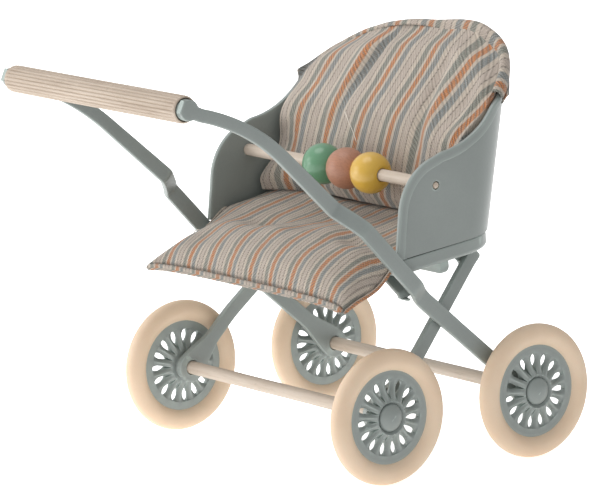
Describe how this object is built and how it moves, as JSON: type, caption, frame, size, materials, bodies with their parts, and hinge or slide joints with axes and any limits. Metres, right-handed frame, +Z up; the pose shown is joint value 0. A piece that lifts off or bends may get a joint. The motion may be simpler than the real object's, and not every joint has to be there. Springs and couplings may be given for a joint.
{
  "type": "doll stroller",
  "caption": "Doll stroller with a padded metal bucket seat that faces the handle, sliding play beads, crossed flat bars and disc wheels on turning wooden axles.",
  "frame": {"origin": "on the floor, at the middle of the box round the whole stroller", "axes": "+X to the right of whoever pushes, +Y the way it rolls when pushed, +Z up; the seat faces the handle, towards -Y"},
  "size_m": [0.108, 0.1422, 0.125],
  "materials": {
    "frame_paint": "satin grey-green enamel",
    "bare_wood": "sanded, unvarnished pale wood",
    "tyre_rubber": "matt cream rubber",
    "green_bead": "lacquered green",
    "tan_bead": "lacquered tan",
    "yellow_bead": "lacquered yellow",
    "striped_cloth": "woven cotton with narrow stripes"
  },
  "bodies": {
    "root": {"handle_arm_left": "frame_paint", "handle_arm_right": "frame_paint", "handle_rod": "frame_paint", "strut_left": "frame_paint", "strut_right": "frame_paint", "front_cross_strap": "frame_paint", "pan_rib": "frame_paint", "rear_cross_strap": "frame_paint", "pan_rivets": "frame_paint", "seat_pan": "frame_paint", "seat_shell": "frame_paint", "seat_cushion": "striped_cloth", "back_cushion": "striped_cloth", "back_cover": "striped_cloth", "bead_rod": "bare_wood"},
    "grip": {"handle_grip": "bare_wood"},
    "front_wheels": {"axle_front": "bare_wood", "wheel_front_left": "frame_paint", "wheel_front_right": "frame_paint", "tyre_front_left": "tyre_rubber", "tyre_front_right": "tyre_rubber"},
    "rear_wheels": {"axle_rear": "bare_wood", "wheel_rear_left": "frame_paint", "wheel_rear_right": "frame_paint", "tyre_rear_left": "tyre_rubber", "tyre_rear_right": "tyre_rubber"},
    "first_bead": {"bead_green": "green_bead"},
    "second_bead": {"bead_tan": "tan_bead"},
    "third_bead": {"bead_yellow": "yellow_bead"}
  },
  "joints": [
    {"name": "grip_spin", "type": "hinge", "parent": "root", "child": "grip", "pos_m": [0, -0.06705, 0.1155], "axis": [1, 0, 0], "continuous": true},
    {"name": "front_axle_spin", "type": "hinge", "parent": "root", "child": "front_wheels", "pos_m": [0, 0.05105, 0.02], "axis": [1, 0, 0], "continuous": true},
    {"name": "rear_axle_spin", "type": "hinge", "parent": "root", "child": "rear_wheels", "pos_m": [0, -0.00395, 0.02], "axis": [1, 0, 0], "continuous": true},
    {"name": "green_bead_slide", "type": "slide", "parent": "root", "child": "first_bead", "axis": [1, 0, 0], "range_m": [-0.0314, 0.0079]},
    {"name": "tan_bead_slide", "type": "slide", "parent": "first_bead", "child": "second_bead", "axis": [1, 0, 0], "range_m": [0, 0.0079]},
    {"name": "yellow_bead_slide", "type": "slide", "parent": "second_bead", "child": "third_bead", "axis": [1, 0, 0], "range_m": [0, 0.0079]}
  ]
}
